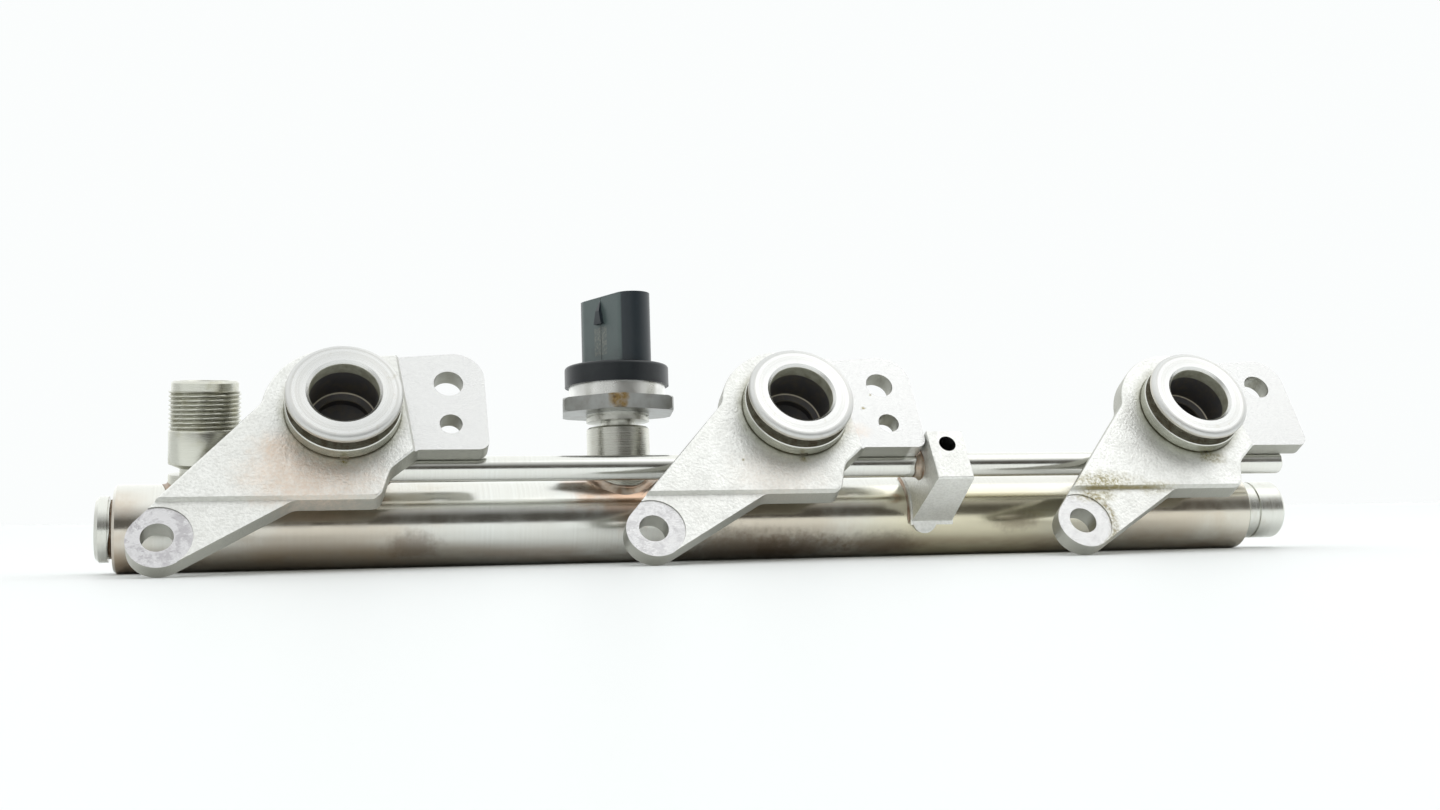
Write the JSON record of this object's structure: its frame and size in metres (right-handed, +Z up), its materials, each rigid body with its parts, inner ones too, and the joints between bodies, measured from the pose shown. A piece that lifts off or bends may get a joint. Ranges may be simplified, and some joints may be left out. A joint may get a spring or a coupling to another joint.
{
  "type": "fuel rail",
  "caption": "High-pressure fuel rail: tube with bracketed injector cups, threaded inlet, pressure sensor, stiffener tube and support lug, resting on its tube and bracket eyes.",
  "frame": {"origin": "under the middle of the part's box, on the surface it rests on", "axes": "+X along the rail from the inlet end to the long plug, +Z up as it lies on its tube and bracket eyes, injector mouths facing -Y and up"},
  "size_m": [0.2992, 0.0532, 0.0655],
  "materials": {
    "tube_steel": "drawn stainless tube, satin, heat-stained from brazing",
    "cast_steel": "fine cast and blasted stainless with machined pads",
    "turned_steel": "turned stainless with fine tool marks",
    "fitting_steel": "turned and plated steel, slightly oily",
    "sensor_steel": "dull zinc-grey steel with a rust spot",
    "sleeve_steel": "bright drawn steel",
    "housing_plastic": "moulded glass-filled nylon, near black",
    "board": "circuit board",
    "contact_metal": "plated contacts",
    "seal_rubber": "moulded seal"
  },
  "bodies": {
    "root": {"bracket_1": "cast_steel", "bracket_2": "cast_steel", "bracket_3": "cast_steel", "end_plug_left": "turned_steel", "end_plug_right": "turned_steel", "injector_cup_1": "turned_steel", "injector_cup_2": "turned_steel", "injector_cup_3": "turned_steel", "inlet_fitting": "fitting_steel", "rail_tube": "tube_steel", "sensor_body": "sensor_steel", "sensor_boss": "turned_steel", "sensor_circuit_board": "board", "sensor_contact_springs": "contact_metal", "sensor_element": "turned_steel", "sensor_housing": "housing_plastic", "sensor_seal": "seal_rubber", "sensor_sleeve": "sleeve_steel", "sensor_terminals": "contact_metal", "stiffener_tube": "tube_steel", "support_lug": "cast_steel"}
  },
  "joints": []
}
